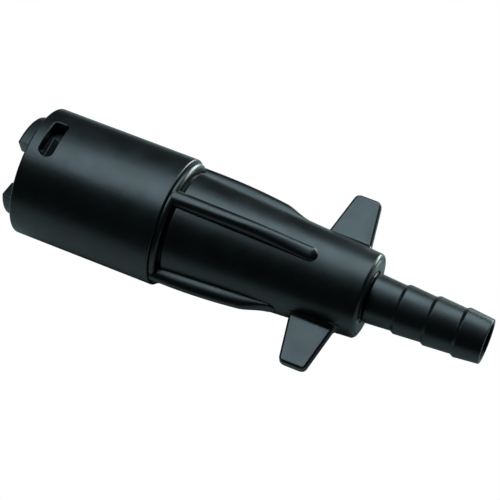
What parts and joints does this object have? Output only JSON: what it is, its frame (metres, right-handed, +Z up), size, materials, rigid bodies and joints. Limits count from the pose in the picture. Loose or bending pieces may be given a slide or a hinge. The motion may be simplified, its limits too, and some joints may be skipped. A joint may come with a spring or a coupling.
{
  "type": "hose quick coupler",
  "caption": "Black moulded hose-end quick coupler for drip irrigation: twist-lock socket, ribbed tapered housing with finger wings, shut-off poppet and swivelling barbed tail.",
  "frame": {"origin": "centre of the bounding box, on the water path's axis", "axes": "+X along the axis from the socket to the barbed tail; +Y along one finger wing; +Z up, square to the wings"},
  "size_m": [0.1416, 0.0552, 0.0376],
  "materials": {
    "shell_plastic": "fine moulded grain, soft sheen",
    "body_plastic": "fine moulded grain, soft sheen",
    "collet_plastic": "matte moulded",
    "tail_plastic": "satin moulded",
    "acetal": "satin white",
    "rubber": "matte black",
    "spring_steel": "bright stainless"
  },
  "bodies": {
    "housing": {"body": "body_plastic", "collet": "collet_plastic", "collet_snap_ring": "spring_steel", "shell_circlip": "spring_steel", "seal_retainer": "acetal", "socket_seal": "rubber", "valve_seat": "acetal", "seat_oring": "rubber", "valve_spring": "spring_steel", "spring_cage": "acetal", "cage_clip": "spring_steel", "strainer_frame": "acetal", "strainer_mesh": "spring_steel", "swivel_bush": "acetal", "bush_oring": "rubber", "thrust_washer": "acetal", "end_ring": "body_plastic"},
    "lock_shell": {"shell": "shell_plastic"},
    "valve_poppet": {"poppet": "acetal", "poppet_seal": "rubber"},
    "swivel_tail": {"hose_tail": "tail_plastic", "flow_disc": "rubber", "tail_oring_front": "rubber", "tail_oring_rear": "rubber"}
  },
  "joints": [
    {"name": "shell_turn", "type": "hinge", "parent": "housing", "child": "lock_shell", "pos_m": [-0.0445, 0, 0], "axis": [1, 0, 0], "range_deg": [0, 13]},
    {"name": "poppet_slide", "type": "slide", "parent": "housing", "child": "valve_poppet", "axis": [1, 0, 0], "range_m": [0, 0.005], "stiffness_N_per_m": 300, "springref_m": -0.008, "deforming": ["valve_spring"]},
    {"name": "tail_swivel", "type": "hinge", "parent": "housing", "child": "swivel_tail", "pos_m": [0.0245, 0, 0], "axis": [1, 0, 0], "continuous": true}
  ]
}
